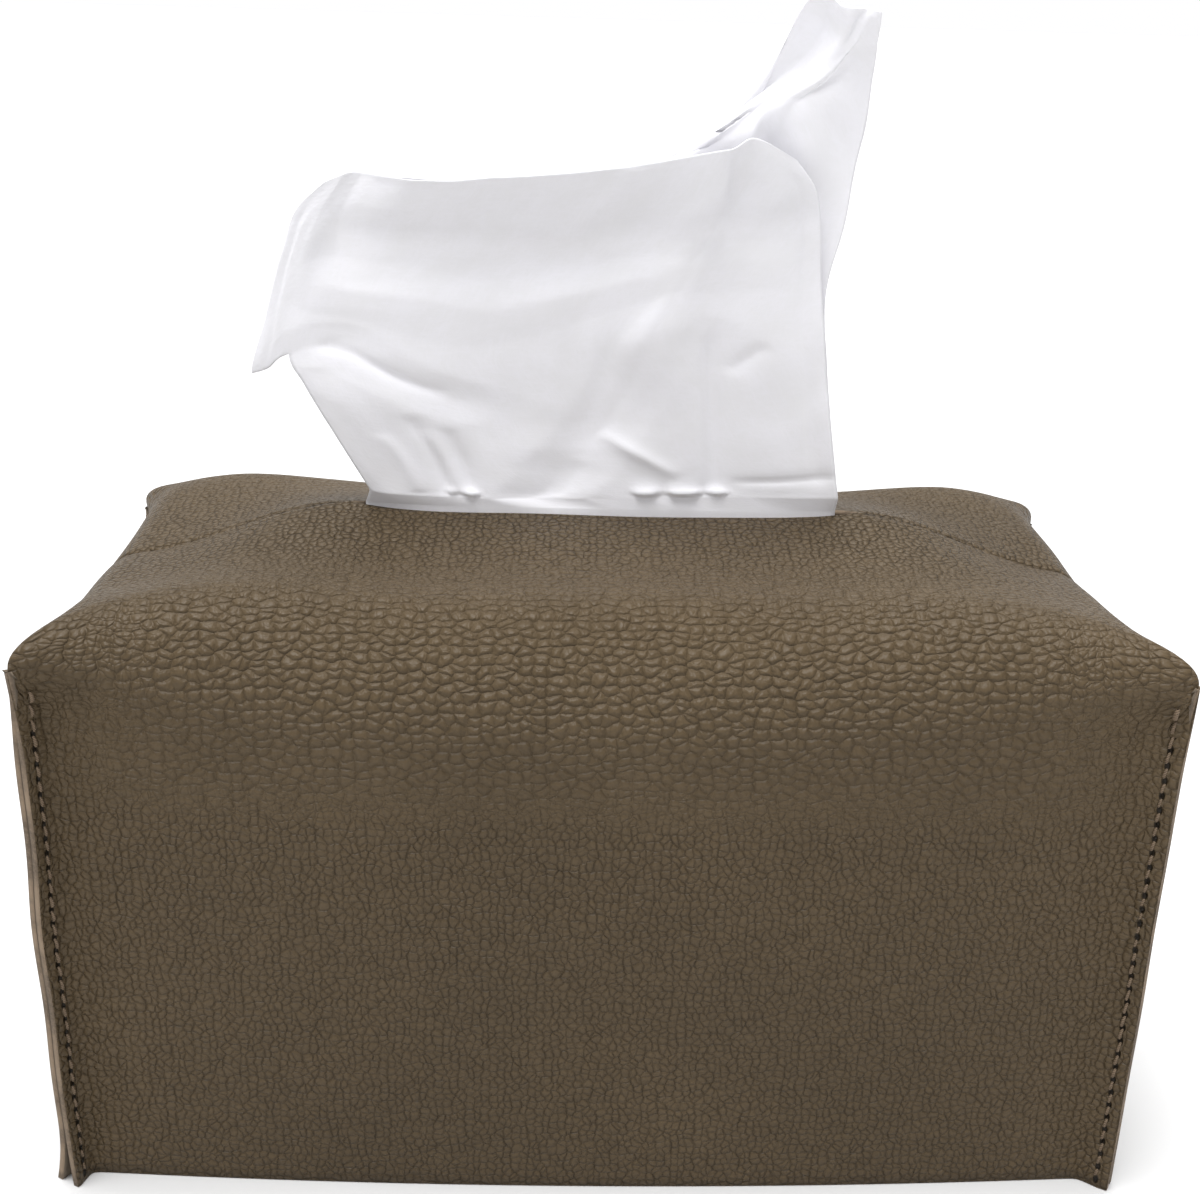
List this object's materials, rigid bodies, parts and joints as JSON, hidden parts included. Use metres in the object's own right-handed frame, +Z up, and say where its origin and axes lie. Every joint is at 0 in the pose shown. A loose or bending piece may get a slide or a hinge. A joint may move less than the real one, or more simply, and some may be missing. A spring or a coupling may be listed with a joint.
{
  "type": "tissue box cover",
  "caption": "Soft pebbled leatherette cover with sewn corner seams over a tissue carton, with a sheet of tissue standing in its top slot.",
  "frame": {"origin": "on the table, under the middle of the cover", "axes": "+X along the long side, +Y to the back, +Z up"},
  "size_m": [0.252, 0.141, 0.2581],
  "materials": {
    "leather": "olive-brown pebbled leatherette, matte",
    "thread": "brown sewing thread",
    "board": "plain pale board",
    "film": "clear film",
    "tissue": "soft white tissue"
  },
  "bodies": {
    "tissue_box": {"tissue_carton": "board", "carton_film": "film", "tissue_stack": "tissue"},
    "cover": {"leather_cover": "leather", "needle_thread_front_left": "thread", "bobbin_thread_front_left": "thread", "needle_thread_front_right": "thread", "bobbin_thread_front_right": "thread", "needle_thread_back_left": "thread", "bobbin_thread_back_left": "thread", "needle_thread_back_right": "thread", "bobbin_thread_back_right": "thread"},
    "pulled_tissue": {"pulled_sheet": "tissue"},
    "next_tissue": {"next_sheet": "tissue"}
  },
  "joints": [
    {"name": "cover_lift", "type": "slide", "parent": "tissue_box", "child": "cover", "axis": [0, 0, 1], "range_m": [0, 0.16]},
    {"name": "sheet_pull", "type": "slide", "parent": "cover", "child": "pulled_tissue", "axis": [0, 0, 1], "range_m": [0, 0.05]},
    {"name": "next_sheet_rise", "type": "slide", "parent": "tissue_box", "child": "next_tissue", "axis": [0, 0, 1], "range_m": [0, 0.05]}
  ],
  "couplings": [
    {"joint": "next_sheet_rise", "follows": "sheet_pull", "ratio": 1}
  ]
}
